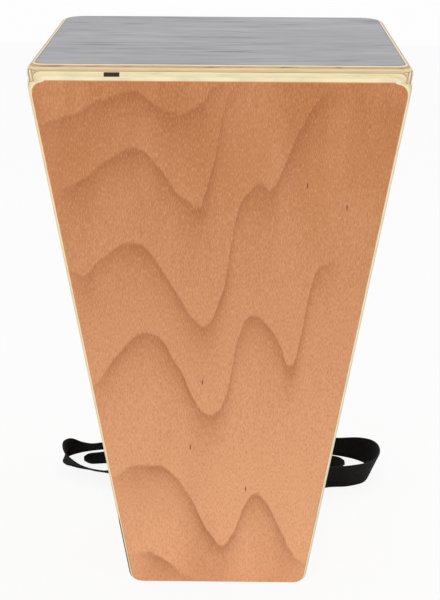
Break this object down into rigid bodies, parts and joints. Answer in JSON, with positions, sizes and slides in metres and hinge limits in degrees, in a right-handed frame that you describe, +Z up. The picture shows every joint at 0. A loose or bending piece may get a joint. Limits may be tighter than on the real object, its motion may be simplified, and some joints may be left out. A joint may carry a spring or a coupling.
{
  "type": "conga cajon",
  "caption": "Tall tapered wooden box drum with a grey top plate, a figured beech front, an open foot and a black webbing strap lying behind it.",
  "frame": {"origin": "centre of the base of the whole part, on the floor, between the drum's foot and its strap", "axes": "+Z up the drum, -Y out of its front panel, +X to the right seen from the front"},
  "size_m": [0.349, 0.367, 0.5],
  "materials": {
    "grey_veneer_top": "grey-stained veneer, satin lacquer",
    "figured_beech_front": "figured beech veneer on birch plywood, satin lacquer",
    "beech_sides": "beech veneer on birch plywood, satin lacquer",
    "beech_back": "beech veneer on birch plywood, satin lacquer",
    "spruce_inside": "planed spruce, bare",
    "black_webbing": "woven polypropylene webbing",
    "black_nylon": "moulded nylon",
    "black_steel": "black powder coat",
    "zinc_screw": "zinc plated"
  },
  "bodies": {
    "drum": {"top_plate": "grey_veneer_top", "front_panel": "figured_beech_front", "back_panel": "beech_back", "left_side_panel": "beech_sides", "right_side_panel": "beech_sides", "corner_batten_front_left": "spruce_inside", "corner_batten_front_right": "spruce_inside", "corner_batten_back_left": "spruce_inside", "corner_batten_back_right": "spruce_inside", "top_cleat_front": "spruce_inside", "top_cleat_back": "spruce_inside", "top_cleat_left": "spruce_inside", "top_cleat_right": "spruce_inside", "base_cleat_front": "spruce_inside", "base_cleat_back": "spruce_inside", "base_cleat_left": "spruce_inside", "base_cleat_right": "spruce_inside", "strap_anchor_tab": "black_webbing", "strap_anchor_plate": "black_steel", "anchor_screw_left": "zinc_screw", "anchor_screw_right": "zinc_screw"},
    "strap": {"strap_left": "black_webbing", "strap_right": "black_webbing", "buckle_socket": "black_nylon", "buckle_plug": "black_nylon"}
  },
  "joints": [
    {"name": "strap_swing", "type": "hinge", "parent": "drum", "child": "strap", "pos_m": [0, 0.0295, 0.0457], "axis": [1, 0, 0], "range_deg": [0, 80]}
  ]
}
